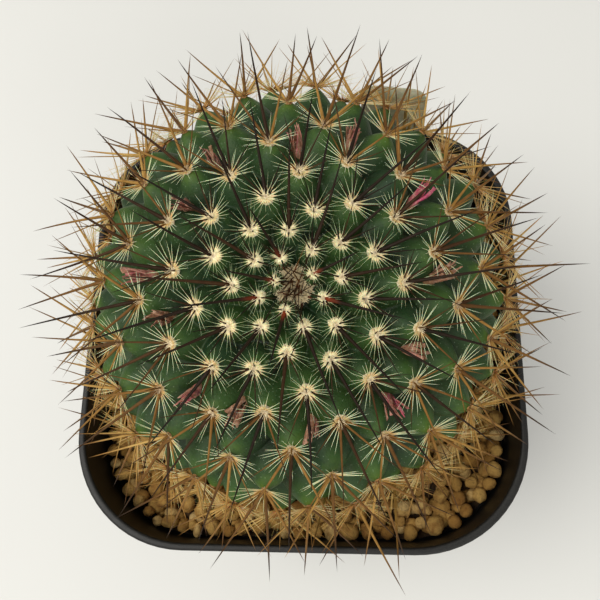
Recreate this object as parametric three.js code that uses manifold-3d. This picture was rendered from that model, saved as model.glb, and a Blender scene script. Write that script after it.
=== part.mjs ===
// A round, spiny cactus in a square plastic nursery pot, with a plant label and
// the dried flowers of last season still sitting between its tubercles.
// Units are millimetres, +Z is up and the pot stands on the XY plane, centred on
// the origin. The label is at the back, towards +Y.

import * as THREE from 'three';
import { mergeVertices } from 'three/addons/utils/BufferGeometryUtils.js';
import { ConvexHull } from 'three/addons/math/ConvexHull.js';
import Module from 'manifold-3d';

const wasm = await Module();
wasm.setup();

// ---------------------------------------------------------------- dimensions

const clearance = 0.3;            // gap kept between pieces that touch

// Pot.
const potWidth = 90;              // across the flats, outside the rim bead
const potHeight = 78;
const potCornerRadius = 22.6;     // at the rim
const cornerSteps = 6;            // flats round each corner
const baseWidth = 66;             // across the flats, under the floor
const wallThickness = 1;
const floorThickness = 2;
const beadWidth = 1.4;            // rolled edge of the rim, wall included
const beadHeight = 2.4;
const beadRound = 0.4;
const collarHeight = 15;          // wider band below the rim
const collarStep = 0.9;           // how far the band stands out from the wall
const collarSlope = 0.02;         // how much the band narrows for each unit of height
const drainHoleDiameter = 7;
const drainHoleInset = 8;         // from the outside of the base to a hole's middle
const drainDiagonalReach = 1.1;   // of the corner holes, over that of the side ones
const drainHoleSides = 16;
const drainGrooveWidth = 4;
const drainGrooveDepth = 0.9;

// Growing medium.
const fillDepth = 11.5;           // from the rim down to the granules

// Stem, an egg-shaped body that leans towards the light.
const stemSideGap = 4.6;          // between the pot wall and the widest areoles
const crownHeight = 34.9;         // from the widest level up to the crown
const lowerHeight = 33;           // from the widest level down to where it would close
const lowerFullness = 0.5;        // 1 is an ellipse, 0 a straight cylinder
const widestLevel = 13.5;         // of the stem, above the rim
const stemForward = 1.5;          // of its middle, towards +Y
const flattening = 0.055;         // of one side, over the radius
const flatAzimuth = 172;          // degrees, where the stem is flattest
const leanForward = 13;           // degrees, towards -Y
const leanSideways = 4.4;         // degrees, towards +X
const rootDepth = 14;             // of the buried root collar, below the granules
const rootWidth = 18;             // of its lower end
const collarShare = 0.6;          // of the widest radius, halfway down the collar
const rootSides = 10;

// Spiral of tubercles, numbered outwards from the crown.
const tubercleCount = 150;
const divergence = 137.508;       // degrees from one tubercle to the next
const firstAzimuth = 167.1;       // degrees, of tubercle number 0
// The square of a tubercle's polar angle, in radians, as a polynomial of its number.
const polarStart = 0.0046;
const polarLinear = 0.002;
const polarSquare = 0.0994e-3;
const polarCube = 0.807e-6;
const tubercleSlope = 0.55;       // height of a tubercle over its spacing
const saddleShare = 0.72;         // depth between two tubercles over that of an axil
const shoulderReach = 0.17;       // of the blunt tip, over the distance to the next one
const shoulderDepth = 0.12;       // of its edge, over the tubercle's height
const fillGap = 2.5;              // between the lowest areoles and the granules

// Central spines.
const spineRadius = 0.55;
const spineSink = 1.4;
const spineLengthCrown = 9.5;
const spineLengthSide = 19.2;
const spineFullPolar = 58;        // degrees from the crown, where they reach full length
const spinesPerAreole = 2;
const spineRing = 1.4;            // distance between their roots
const spineFan = 76;              // degrees between them, down the flank
const spineFanPlay = 24;
const spineSpread = 54;           // degrees away from the tubercle's own axis
const spineSpreadPlay = 12;
const spineLengthPlay = 0.12;     // share by which some are shorter
const spineGap = 0.8;             // kept to the pot, the granules and the label

// Plant label.
const labelWidth = 13;
const labelThickness = 0.6;
const labelCornerRadius = 3;
const labelAboveRim = 19;
const labelInFill = 32;
const labelTipLength = 10;
const labelTipWidth = 2;
const labelOffset = 19.3;         // of its middle, towards +X
const labelTurn = -8;             // degrees about the vertical
const labelOffWall = 0.9295811;   // degrees, steeper than the wall behind it
const labelWallGap = 2.6;         // behind it, level with the rim

// Dried flowers. Each sits halfway between one tubercle and the eighth after it.
const driedFlowers = [36, 38, 39, 41, 42, 43, 44, 45, 46, 47, 48, 50, 53];
const nextInRow = 8;
const flowerLength = 8.5;
const flowerRadius = 1.7;
const flowerBend = 2.2;           // how far its dry tip has curled over
const flowerProud = 1.2;          // how far its tip stands above the areoles
const flowerSides = 8;

// ------------------------------------------------------------------- helpers

const degrees = Math.PI / 180;

function makeRandom(seed) {
  let state = seed;
  return () => {
    state = (Math.imul(state, 1664525) + 1013904223) >>> 0;
    return state / 4294967296;
  };
}

function solidOf(geometry) {
  const bare = geometry.clone();
  bare.deleteAttribute('normal');
  bare.deleteAttribute('uv');
  const merged = mergeVertices(bare, 1e-4);
  return new wasm.Manifold(new wasm.Mesh({
    numProp: 3,
    vertProperties: new Float32Array(merged.attributes.position.array),
    triVerts: new Uint32Array(merged.index.array),
  }));
}

function joined(solids) {
  let level = solids;
  while (level.length > 1) {
    const next = [];
    for (let i = 0; i < level.length; i += 2) {
      next.push(i + 1 < level.length ? level[i].add(level[i + 1]) : level[i]);
    }
    level = next;
  }
  return level[0];
}

function largestBody(solid) {
  const bodies = solid.decompose();
  return bodies.reduce((best, body) => (body.volume() > best.volume() ? body : best));
}

function meshOf(name, solid, colour, roughness) {
  const result = solid.getMesh();
  const geometry = new THREE.BufferGeometry();
  geometry.setAttribute('position', new THREE.BufferAttribute(result.vertProperties, 3));
  geometry.setIndex(new THREE.BufferAttribute(result.triVerts, 1));
  const material = new THREE.MeshStandardMaterial({ color: colour, roughness, metalness: 0 });
  const mesh = new THREE.Mesh(geometry, material);
  mesh.name = name;
  return mesh;
}

function latheZ(profile, segments) {
  const points = profile.map(([radius, height]) => new THREE.Vector2(radius, height));
  const geometry = new THREE.LatheGeometry(points, segments);
  geometry.rotateX(Math.PI / 2);
  return geometry;
}

// ----------------------------------------------------------------------- pot

const potTop = potHeight;
const fillTop = potHeight - fillDepth;
const cornerRatio = potCornerRadius / (potWidth / 2);

// Outline of the square with round corners, for a half width of 1, anticlockwise.
function roundedSquare() {
  const outline = [];
  for (let corner = 0; corner < 4; corner++) {
    const turn = corner * 90 + 45;
    const middle = (1 - cornerRatio) * Math.SQRT2;
    const middleX = Math.cos(turn * degrees) * middle;
    const middleY = Math.sin(turn * degrees) * middle;
    for (let step = 0; step <= cornerSteps; step++) {
      const angle = (turn - 45 + (90 * step) / cornerSteps) * degrees;
      outline.push([
        middleX + cornerRatio * Math.cos(angle),
        middleY + cornerRatio * Math.sin(angle),
      ]);
    }
  }
  return outline;
}

// Turns a profile of [half width, height] pairs into a solid with that outline.
function squareLathe(profile) {
  const outline = roundedSquare();
  const points = profile.map(([half, height]) => new THREE.Vector2(half, height));
  const geometry = new THREE.LatheGeometry(points, outline.length);
  const position = geometry.attributes.position;
  for (let i = 0; i <= outline.length; i++) {
    const [alongX, alongY] = outline[i % outline.length];
    profile.forEach(([half, height], j) => {
      position.setXYZ(i * profile.length + j, half * alongX, half * alongY, height);
    });
  }
  return geometry;
}

// Half widths of the pot at a height: outside and inside of its wall.
const collarBottom = potTop - collarHeight;
const wallTopHalf = potWidth / 2 - (beadWidth - wallThickness);

function innerHalf(height) {
  const baseHalf = baseWidth / 2 - wallThickness;
  const collarHalf = wallTopHalf - wallThickness - collarSlope * collarHeight;
  if (height >= collarBottom) {
    return wallTopHalf - wallThickness - collarSlope * (potTop - height);
  }
  const share = (height - floorThickness) / (collarBottom - floorThickness);
  return baseHalf + (collarHalf - collarStep - baseHalf) * Math.max(share, 0);
}

function makePot() {
  const stepFoot = collarBottom - collarStep;
  const profile = [
    [0, 0],
    [baseWidth / 2 - beadRound, 0],
    [baseWidth / 2, beadRound],
    [innerHalf(stepFoot) + wallThickness, stepFoot],
    [innerHalf(collarBottom) + wallThickness, collarBottom],
    [innerHalf(potTop - beadHeight) + wallThickness, potTop - beadHeight],
    [potWidth / 2, potTop - beadHeight + beadRound],
    [potWidth / 2, potTop - beadRound],
    [potWidth / 2 - beadRound, potTop],
    [potWidth / 2 - beadWidth + beadRound, potTop],
    [innerHalf(potTop), potTop - beadRound],
    [innerHalf(collarBottom), collarBottom],
    [innerHalf(stepFoot), stepFoot],
    [innerHalf(floorThickness), floorThickness],
    [0, floorThickness],
  ];
  const pot = solidOf(squareLathe(profile));

  const cuts = [];
  const holeRing = baseWidth / 2 - drainHoleInset;
  for (let side = 0; side < 4; side++) {
    for (const [turn, reach] of [[0, 1], [45, drainDiagonalReach]]) {
      const angle = (side * 90 + turn) * degrees;
      const hole = new THREE.CylinderGeometry(
        drainHoleDiameter / 2, drainHoleDiameter / 2, floorThickness * 3, drainHoleSides);
      hole.rotateX(Math.PI / 2);
      hole.translate(holeRing * reach * Math.cos(angle), holeRing * reach * Math.sin(angle), 0);
      cuts.push(solidOf(hole));
    }
    const groove = new THREE.BoxGeometry(
      baseWidth / 2 - holeRing + wallThickness, drainGrooveWidth, drainGrooveDepth * 2);
    groove.translate((baseWidth / 2 + holeRing + wallThickness) / 2, 0, 0);
    groove.rotateZ(side * 90 * degrees);
    cuts.push(solidOf(groove));
  }
  return pot.subtract(joined(cuts));
}

// ------------------------------------------------------------- stem geometry

const stemRadius = innerHalf(potTop) - stemSideGap;
const stemCentre = new THREE.Vector3(0, stemForward, potTop + widestLevel);
const stemFrame = new THREE.Matrix4().makeRotationFromEuler(
  new THREE.Euler(leanForward * degrees, leanSideways * degrees, 0, 'XYZ'));
stemFrame.setPosition(stemCentre);

// Point of the surface through the areoles, sunk by some depth, in the stem's own axes.
// The polar angle is measured from the crown.
function stemPoint(polar, azimuth, depth = 0) {
  const upper = polar < Math.PI / 2;
  const around = upper ? Math.sin(polar) : Math.sin(polar) ** lowerFullness;
  const along = (upper ? crownHeight : lowerHeight) * Math.cos(polar);
  const towardsFlat = Math.max(Math.cos(azimuth - flatAzimuth * degrees), 0);
  const flat = flattening * towardsFlat ** 2 * (upper ? around ** 4 : 1);
  const radius = stemRadius * around * (1 - flat);
  const point = new THREE.Vector3(
    radius * Math.cos(azimuth), radius * Math.sin(azimuth), along);
  const inward = point.clone().normalize().multiplyScalar(depth);
  return point.sub(inward);
}

// Polar angle of tubercle number n: close together at the crown, wider further out.
function polarOf(n) {
  return Math.sqrt(polarStart + polarLinear * n + polarSquare * n ** 2 + polarCube * n ** 3);
}

function azimuthOf(n) {
  return (firstAzimuth - divergence * n) * degrees;
}

// Distance between neighbouring tubercles: each has its own share of the surface.
function spacingOf(n) {
  const polarStep = polarOf(n + 0.5) - polarOf(Math.max(n - 0.5, 0));
  const share = n < 0.5 ? 2 : 1;
  const ring = 2 * Math.PI * stemRadius * Math.sin(Math.min(polarOf(n), Math.PI / 2));
  const alongArc = (stemRadius + crownHeight) / 2;
  return Math.sqrt(ring * polarStep * share * alongArc);
}

function makeTubercles() {
  const tubercles = [];
  for (let n = 0; n < tubercleCount; n++) {
    const height = tubercleSlope * spacingOf(n);
    const local = stemPoint(polarOf(n), azimuthOf(n));
    const tip = local.clone().applyMatrix4(stemFrame);
    if (tip.z < fillTop + fillGap) continue;
    const foot = stemPoint(polarOf(n), azimuthOf(n), height).applyMatrix4(stemFrame);
    const axis = tip.clone().sub(foot).normalize();
    tubercles.push({ n, local, tip, axis, height, polar: polarOf(n) });
  }
  return tubercles;
}

const tubercles = makeTubercles();

// Bare skin of the root collar, below the tubercles: rings of [radius, height].
function makeRootPoints() {
  const bottom = fillTop - rootDepth - stemCentre.z;
  const collarRadius = stemRadius * collarShare;
  const rings = [
    [collarRadius, (bottom + fillTop - stemCentre.z) / 2],
    [rootWidth / 2, bottom],
  ];
  const points = [new THREE.Vector3(0, 0, bottom)];
  for (const [radius, height] of rings) {
    for (let i = 0; i < rootSides; i++) {
      const angle = (2 * Math.PI * i) / rootSides;
      points.push(new THREE.Vector3(radius * Math.cos(angle), radius * Math.sin(angle), height));
    }
  }
  return points.map((local) => ({ local, height: 0 }));
}

// The skin: every tubercle is a blunt hill, and each triangle of neighbouring tips
// has its deepest point, the axil, in its middle. The neighbours are found from the
// hull of their directions. A swell above 0 moves the whole skin outwards.
function makeStem(swell = 0) {
  const knots = [...tubercles, ...makeRootPoints()];
  const directions = knots.map((knot) => knot.local.clone().normalize());
  const knotOf = new Map(directions.map((direction, i) => [direction, i]));
  const hull = new ConvexHull().setFromPoints(directions);

  const positions = [];
  const addPoint = (point, depth) => {
    const moved = point.clone().addScaledVector(point.clone().normalize(), swell - depth);
    positions.push(...moved.applyMatrix4(stemFrame).toArray());
    return positions.length / 3 - 1;
  };
  const tips = knots.map((knot) => addPoint(knot.local, 0));
  const between = (i, j, share) => knots[i].local.clone().lerp(knots[j].local, share);
  const saddles = new Map();
  const shoulders = new Map();
  const saddleOf = (i, j) => {
    const key = i < j ? `${i} ${j}` : `${j} ${i}`;
    if (!saddles.has(key)) {
      const depth = saddleShare * (knots[i].height + knots[j].height) / 2;
      saddles.set(key, addPoint(between(i, j, 0.5), depth));
    }
    return saddles.get(key);
  };
  const shoulderOf = (i, j) => {
    const key = `${i} ${j}`;
    if (!shoulders.has(key)) {
      const depth = shoulderDepth * knots[i].height;
      shoulders.set(key, addPoint(between(i, j, shoulderReach), depth));
    }
    return shoulders.get(key);
  };

  const triangles = [];
  for (const face of hull.faces) {
    const corners = [0, 1, 2].map((k) => knotOf.get(face.getEdge(k).head().point));
    const middle = new THREE.Vector3();
    let depth = 0;
    for (const i of corners) {
      middle.addScaledVector(knots[i].local, 1 / 3);
      depth += knots[i].height / 3;
    }
    const axil = addPoint(middle, depth);
    for (let k = 0; k < 3; k++) {
      const i = corners[k];
      const after = corners[(k + 1) % 3];
      const before = corners[(k + 2) % 3];
      const [near, far] = [shoulderOf(i, after), shoulderOf(i, before)];
      const [saddleNear, saddleFar] = [saddleOf(i, after), saddleOf(i, before)];
      triangles.push(tips[i], near, far);
      triangles.push(near, saddleNear, axil);
      triangles.push(near, axil, far);
      triangles.push(far, axil, saddleFar);
    }
  }
  const geometry = new THREE.BufferGeometry();
  geometry.setAttribute('position', new THREE.Float32BufferAttribute(positions, 3));
  geometry.setIndex(triangles);
  return solidOf(geometry);
}

// ------------------------------------------------------------ central spines

// Signed distance from a point to the square with round corners, negative inside.
function squareDistance(x, y, half) {
  const corner = half * cornerRatio;
  const outX = Math.abs(x) - half + corner;
  const outY = Math.abs(y) - half + corner;
  const outside = Math.hypot(Math.max(outX, 0), Math.max(outY, 0));
  return outside + Math.min(Math.max(outX, outY), 0) - corner;
}

// The label's own origin is at the middle of its width, level with the rim.
const labelBack = innerHalf(potTop) - labelWallGap - labelThickness / 2;
const labelFoot = fillTop - labelInFill;
const wallLean = Math.atan2(innerHalf(potTop) - innerHalf(labelFoot), potTop - labelFoot);
const labelPlace = new THREE.Matrix4().makeRotationFromEuler(
  new THREE.Euler(labelOffWall * degrees - wallLean, 0, labelTurn * degrees, 'ZXY'));
labelPlace.setPosition(labelOffset, labelBack, potTop);
const labelInverse = labelPlace.clone().invert();

function isFree(point) {
  const gap = spineGap + spineRadius;
  if (point.z < fillTop + gap) return false;
  const belowRim = point.z < potTop + gap;
  if (belowRim && squareDistance(point.x, point.y, innerHalf(point.z)) > -gap) return false;
  const local = point.clone().applyMatrix4(labelInverse);
  const nearLabel = Math.abs(local.x) < labelWidth / 2 + gap
    && Math.abs(local.y) < labelThickness / 2 + gap
    && local.z < labelAboveRim + gap;
  return !nearLabel;
}

function spineIsFree(root, direction, length) {
  const checks = 8;
  for (let i = 1; i <= checks; i++) {
    if (!isFree(root.clone().addScaledVector(direction, (length * i) / checks))) return false;
  }
  return true;
}

// Turns a spine upwards, and then shortens it, until it clears everything around it.
function settleSpine(root, direction, length) {
  const up = new THREE.Vector3(0, 0, 1);
  const liftSteps = 8;
  for (const share of [1, 0.8, 0.6, 0.45]) {
    for (let lift = 0; lift <= liftSteps; lift++) {
      const turned = direction.clone().lerp(up, lift / liftSteps).normalize();
      if (spineIsFree(root, turned, length * share)) return { turned, length: length * share };
    }
  }
  return null;
}

// The two longest spines of an areole point down the flank and outwards, one to each side.
function spinesOf(tubercle) {
  const random = makeRandom(97 + tubercle.n * 7919);
  random();
  const { n, axis, tip, polar } = tubercle;
  const crown = new THREE.Vector3(0, 0, 1).transformDirection(stemFrame);
  const side = crown.cross(axis).normalize();
  const down = side.clone().cross(axis).normalize();
  const reach = Math.min(polar / (spineFullPolar * degrees), 1);
  const fullLength = spineLengthCrown + (spineLengthSide - spineLengthCrown) * reach;
  const spines = [];
  for (let i = 0; i < spinesPerAreole; i++) {
    const share = i - (spinesPerAreole - 1) / 2;
    const turn = (spineFan * share + spineFanPlay * (random() - 0.5)) * degrees;
    const spread = (spineSpread + spineSpreadPlay * (random() - 0.5)) * degrees;
    const sideways = down.clone().multiplyScalar(Math.cos(turn))
      .addScaledVector(side, Math.sin(turn));
    const direction = axis.clone().multiplyScalar(Math.cos(spread))
      .addScaledVector(sideways, Math.sin(spread));
    const length = fullLength * (1 - spineLengthPlay * random());
    const root = tip.clone().addScaledVector(side, spineRing * share);
    const settled = settleSpine(root, direction, length);
    if (settled) spines.push({ n, root, direction: settled.turned, length: settled.length });
  }
  return spines;
}

function makeSpine({ root, direction, length }, extra = 0) {
  const whole = length + spineSink + extra;
  const geometry = new THREE.ConeGeometry(spineRadius + extra, whole, 3, 1);
  geometry.translate(0, whole / 2 - spineSink, 0);
  geometry.applyQuaternion(
    new THREE.Quaternion().setFromUnitVectors(new THREE.Vector3(0, 1, 0), direction));
  geometry.translate(root.x, root.y, root.z);
  return solidOf(geometry);
}

const spines = tubercles.flatMap(spinesOf);

function makeCactus() {
  return joined([makeStem(), ...spines.map((spine) => makeSpine(spine))]);
}

// ------------------------------------------------------------ growing medium

function makeFill() {
  const bottom = floorThickness + clearance;
  const profile = [
    [0, bottom],
    [innerHalf(bottom) - clearance, bottom],
    [innerHalf(collarBottom - collarStep) - clearance, collarBottom - collarStep],
    [innerHalf(collarBottom) - clearance, collarBottom],
    [innerHalf(fillTop) - clearance, fillTop],
    [0, fillTop],
  ];
  const fill = solidOf(squareLathe(profile));
  return fill.subtract(makeStem(2 * clearance)).subtract(makeLabel(clearance));
}

// --------------------------------------------------------------------- label

function makeLabel(extra = 0) {
  const half = labelWidth / 2 + extra;
  const top = labelAboveRim + extra;
  const bottom = -fillDepth - labelInFill - extra;
  const thickness = labelThickness + 2 * extra;
  const outline = new THREE.Shape();
  outline.moveTo(-half, bottom + labelTipLength);
  outline.lineTo(-labelTipWidth / 2, bottom);
  outline.lineTo(labelTipWidth / 2, bottom);
  outline.lineTo(half, bottom + labelTipLength);
  outline.lineTo(half, top - labelCornerRadius);
  const cornerX = half - labelCornerRadius;
  const cornerY = top - labelCornerRadius;
  outline.absarc(cornerX, cornerY, labelCornerRadius, 0, Math.PI / 2);
  outline.absarc(-cornerX, cornerY, labelCornerRadius, Math.PI / 2, Math.PI);
  const geometry = new THREE.ExtrudeGeometry(outline, {
    depth: thickness, bevelEnabled: false, curveSegments: 6,
  });
  geometry.translate(0, 0, -thickness / 2);
  geometry.rotateX(Math.PI / 2);
  geometry.applyMatrix4(labelPlace);
  return solidOf(geometry);
}

// ------------------------------------------------------------- dried flowers

function flowerPlace(n) {
  const first = stemPoint(polarOf(n), azimuthOf(n));
  const second = stemPoint(polarOf(n + nextInRow), azimuthOf(n + nextInRow));
  const middle = first.add(second).multiplyScalar(0.5);
  const axis = middle.clone().normalize().transformDirection(stemFrame);
  return { middle: middle.applyMatrix4(stemFrame), axis };
}

function makeFlower(n) {
  const random = makeRandom(11 + n * 131);
  random();
  const { middle, axis } = flowerPlace(n);
  const profile = [
    [0, flowerProud],
    [0.6 * flowerRadius, flowerProud - 0.3],
    [flowerRadius, flowerProud - 0.24 * flowerLength],
    [0.72 * flowerRadius, flowerProud - 0.45 * flowerLength],
    [0.95 * flowerRadius, flowerProud - 0.68 * flowerLength],
    [0.5 * flowerRadius, flowerProud - 0.95 * flowerLength],
    [0, flowerProud - flowerLength],
  ];
  const geometry = latheZ(profile.reverse(), flowerSides);
  const position = geometry.attributes.position;
  const turn = random() * 2 * Math.PI;
  for (let i = 0; i < position.count; i++) {
    const share = 1 - (flowerProud - position.getZ(i)) / flowerLength;
    const bend = flowerBend * share ** 2 - flowerBend * 0.4;
    position.setX(i, position.getX(i) * (0.75 + 0.1 * Math.sin(9 * share)) + bend);
  }
  geometry.rotateZ(turn);
  geometry.applyQuaternion(
    new THREE.Quaternion().setFromUnitVectors(new THREE.Vector3(0, 0, 1), axis));
  geometry.translate(middle.x, middle.y, middle.z);
  const whole = solidOf(geometry);

  const near = (other) => other.distanceTo(middle) < 3 * flowerLength;
  const around = [makeStem(2 * clearance)];
  spines.filter((s) => near(s.root)).forEach((s) => around.push(makeSpine(s, clearance)));
  return largestBody(whole.subtract(joined(around)));
}

// ------------------------------------------------------------------ assembly

const plant = new THREE.Group();
plant.add(meshOf('pot', makePot(), 0x1e1c1a, 0.45));
plant.add(meshOf('substrate', makeFill(), 0xaa8750, 0.95));
plant.add(meshOf('cactus', makeCactus(), 0x3c6e3c, 0.6));
plant.add(meshOf('plant_label', makeLabel(), 0xb8bd9c, 0.4));
driedFlowers.forEach((n, i) => {
  const name = `dried_flower_${String(i + 1).padStart(2, '0')}`;
  plant.add(meshOf(name, makeFlower(n), 0xa8707a, 0.8));
});

export default plant;
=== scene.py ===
# A round, spiny cactus in a square nursery pot: the looks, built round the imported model.
# Units are metres, in the same frame as the CAD: +Z is up and the label is towards +Y.

import math

import bpy
import bmesh
import numpy as np
from mathutils import Matrix, Vector


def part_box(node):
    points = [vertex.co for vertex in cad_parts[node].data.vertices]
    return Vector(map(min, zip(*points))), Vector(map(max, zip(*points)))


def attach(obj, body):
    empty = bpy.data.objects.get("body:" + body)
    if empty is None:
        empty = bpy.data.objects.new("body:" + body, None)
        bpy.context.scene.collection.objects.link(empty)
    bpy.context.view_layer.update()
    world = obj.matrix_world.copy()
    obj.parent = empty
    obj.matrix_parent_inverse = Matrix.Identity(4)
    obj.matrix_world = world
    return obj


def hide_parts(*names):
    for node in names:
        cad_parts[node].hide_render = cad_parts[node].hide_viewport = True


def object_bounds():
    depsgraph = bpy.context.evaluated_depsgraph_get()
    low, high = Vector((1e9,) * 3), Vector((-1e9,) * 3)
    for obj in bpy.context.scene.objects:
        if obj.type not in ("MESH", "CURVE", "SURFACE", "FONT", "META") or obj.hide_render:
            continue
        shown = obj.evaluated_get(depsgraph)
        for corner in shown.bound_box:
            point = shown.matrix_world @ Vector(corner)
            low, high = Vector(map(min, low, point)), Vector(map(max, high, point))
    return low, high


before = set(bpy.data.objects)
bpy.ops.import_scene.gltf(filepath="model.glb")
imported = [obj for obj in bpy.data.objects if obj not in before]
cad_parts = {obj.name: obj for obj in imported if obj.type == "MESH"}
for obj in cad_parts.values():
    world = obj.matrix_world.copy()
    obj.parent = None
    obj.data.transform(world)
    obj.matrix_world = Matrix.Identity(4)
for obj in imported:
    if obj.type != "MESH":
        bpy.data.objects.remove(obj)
cad_low, cad_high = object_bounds()

MM = 0.001
TAU = 2 * math.pi

# ---- dimensions

pot_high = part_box("pot")[1]
mix_low, mix_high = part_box("substrate")
label_low, label_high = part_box("plant_label")

POT_HALF = pot_high.x
RIM_LEVEL = pot_high.z
MIX_LEVEL = mix_high.z
MIX_HALF = mix_high.x

# Pot: the same sizes as its CAD solid.
CORNER_RATIO = 22.6 / 45
BASE_HALF = 33 * MM
WALL = 1 * MM
FLOOR = 2 * MM
BEAD_WIDTH = 1.4 * MM
BEAD_HEIGHT = 2.4 * MM
COLLAR_HEIGHT = 15 * MM
COLLAR_STEP = 0.9 * MM
COLLAR_SLOPE = 0.02
DRAIN_HOLE = 3.5 * MM
DRAIN_INSET = 8 * MM
GROOVE_WIDTH = 4 * MM
GROOVE_DEPTH = 0.9 * MM
DIAGONAL_REACH = 1.1

# Stem: the same growth as its CAD solid.
STEM_GAP = 4.6 * MM
CROWN_HEIGHT = 34.9 * MM
LOWER_HEIGHT = 33 * MM
LOWER_FULLNESS = 0.5
WIDEST_LEVEL = 13.5 * MM
FLATTENING = 0.055
FLAT_AZIMUTH = math.radians(172)
STEM_BACK = 1.5 * MM
LEAN_FORWARD = math.radians(13)
LEAN_SIDEWAYS = math.radians(4.4)
TUBERCLE_COUNT = 150
DIVERGENCE = math.radians(137.508)
FIRST_AZIMUTH = math.radians(167.1)
# The square of a tubercle's polar angle is a polynomial in its number.
POLAR_LAW = (0.0046, 0.002, 0.0994e-3, 0.807e-6)
TUBERCLE_SLOPE = 0.6
AXIL_REACH = 0.6
AXIL_SHARPNESS = 28
MIX_GAP = 2.5 * MM
SKIN_COLUMNS = 720
SKIN_ROWS = 330
SKIN_LAST_POLAR = math.radians(152)
ROOT_SHARE = 0.55
ROOT_DROP = 6 * MM

# Spines and wool. Tubercles are numbered from the crown down.
SPINE_GAP = 0.5 * MM
BOX_PLAY = 0.6 * MM
# One areole's central spines: degrees from straight down the flank, degrees from the
# areole's axis, share of the full length.
CENTRAL_PATTERN = (
    (0, 61, 1.0), (35, 57, 0.84), (-35, 57, 0.84), (84, 47, 0.54), (-84, 47, 0.54), (180, 28, 0.42))
# The first areoles are young: their spine towards the crown leans further and is longer.
YOUNG_COUNT = 12
YOUNG_INWARD = (56, 0.86)
LEADER_SHARE = 0.82
RADIAL_COUNT = 25
RADIAL_COUNT_CROWN = 18
RADIAL_COUNT_FRINGE = 38
FRINGE = (84, 110)
CROWN_HAIRS = 1700
CROWN_SPINES = 36
CROWN_RADIUS = 2.7 * MM
WOOL_HAIRS = 46

# Potting mix: loose granules lie in layers on a rough bed.
BED_DROP = 3.9 * MM
BED_GAP = 0.3 * MM
# Each layer: how far below the mix's level, how close granules lie, how many tries.
GRANULE_LAYERS = ((3.4 * MM, 0.84, 10000), (2.0 * MM, 0.82, 16000), (0.7 * MM, 0.92, 9000))
GRANULE_SIZE = (1.15 * MM, 1.9 * MM)
GRANULE_SHAPES = 14
# Waves that make a granule lumpy: how many cross it, how high each is.
GRANULE_WAVES = ((1.2, 0.13), (2.2, 0.12), (5, 0.05), (10, 0.025))

# Dried flowers: each sits halfway between one tubercle and the eighth after it.
DRIED_FLOWERS = (36, 38, 39, 41, 42, 43, 44, 45, 46, 47, 48, 50, 53)
NEXT_IN_ROW = 8
# From tan (0) through pink to bright magenta (1).
DRIED_SHADES = (0.1, 0.2, 0.12, 0.25, 0.45, 0.08, 0.6, 0.4, 0.62, 0.5, 0.95, 0.3, 0.35)
DRIED_PETALS = 11
DRIED_ROWS = 16
DRIED_COLUMNS = 6

# Camera: it looks down on the crown from the front, and is rolled a little.
LOOK_AT = Vector((0, 5.08 * MM, RIM_LEVEL))
CAMERA_DISTANCE = 143.1 * MM
CAMERA_AZIMUTH = math.radians(15.08)
CAMERA_ELEVATION = math.radians(73.46)
CAMERA_ROLL = math.radians(-14.86)
CAMERA_LENS = 40.8
CAMERA_SENSOR = 36

# Studio: each lamp is a name, a place, a diameter and a power.
LAMPS = (("key_light", (-0.46, -0.1, 0.92), 0.6, 7.0), ("fill_light", (0.25, -0.75, 0.65), 0.7, 2.6))
LAMP_COLOUR = (1.0, 0.98, 0.93)
LAMP_AIM = Vector((0, 0, 0.09))
SKY_COLOUR = (1.0, 0.99, 0.955, 1)
SKY_STRENGTH = 0.68
FLOOR_REACH = 3.0


# ---- helpers

def srgb(*channels):
    """A colour given as 0 to 255, as linear values with alpha."""
    shares = [channel / 255 for channel in channels]
    linear = [share / 12.92 if share < 0.04045 else ((share + 0.055) / 1.055) ** 2.4
              for share in shares]
    return (*linear, 1.0)


def link(name, data):
    """A new object in the scene."""
    made = bpy.data.objects.new(name, data)
    bpy.context.scene.collection.objects.link(made)
    return made


def mesh_piece(name, points, faces, marks=None):
    """A mesh object, shaded smooth. marks maps an attribute name to a number for each vertex."""
    mesh = bpy.data.meshes.new(name)
    points = np.asarray(points, np.float32).reshape(-1, 3)
    mesh.vertices.add(len(points))
    mesh.vertices.foreach_set("co", points.ravel())
    loops = np.concatenate([np.asarray(group, np.int32).ravel() for group in faces])
    sizes = np.concatenate([
        np.full(len(group), np.asarray(group).shape[1], np.int32) for group in faces])
    starts = np.concatenate([[0], np.cumsum(sizes)[:-1]]).astype(np.int32)
    mesh.loops.add(len(loops))
    mesh.loops.foreach_set("vertex_index", loops)
    mesh.polygons.add(len(sizes))
    mesh.polygons.foreach_set("loop_start", starts)
    mesh.polygons.foreach_set("loop_total", sizes)
    mesh.polygons.foreach_set("use_smooth", np.full(len(sizes), True))
    mesh.update(calc_edges=True)
    mesh.validate()
    for key, values in (marks or {}).items():
        layer = mesh.attributes.new(key, "FLOAT", "POINT")
        layer.data.foreach_set("value", np.asarray(values, np.float32))
    return link(name, mesh)


def finish_piece(piece, material, slot, *replaced):
    piece.data.materials.clear()
    piece.data.materials.append(material)
    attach(piece, "root")
    if replaced:
        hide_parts(*replaced)


def unit(vectors):
    return vectors / np.maximum(np.linalg.norm(vectors, axis=-1, keepdims=True), 1e-12)


def smooth_step(low, high, value):
    share = np.clip((value - low) / (high - low), 0, 1)
    return share * share * (3 - 2 * share)


def unit_ball(subdivisions):
    """The points and triangles of a ball of radius 1."""
    ball = bmesh.new()
    bmesh.ops.create_icosphere(ball, subdivisions=subdivisions, radius=1)
    ball.verts.index_update()
    points = np.array([vertex.co for vertex in ball.verts])
    triangles = np.array([[vertex.index for vertex in face.verts] for face in ball.faces])
    ball.free()
    return points, triangles


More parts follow.
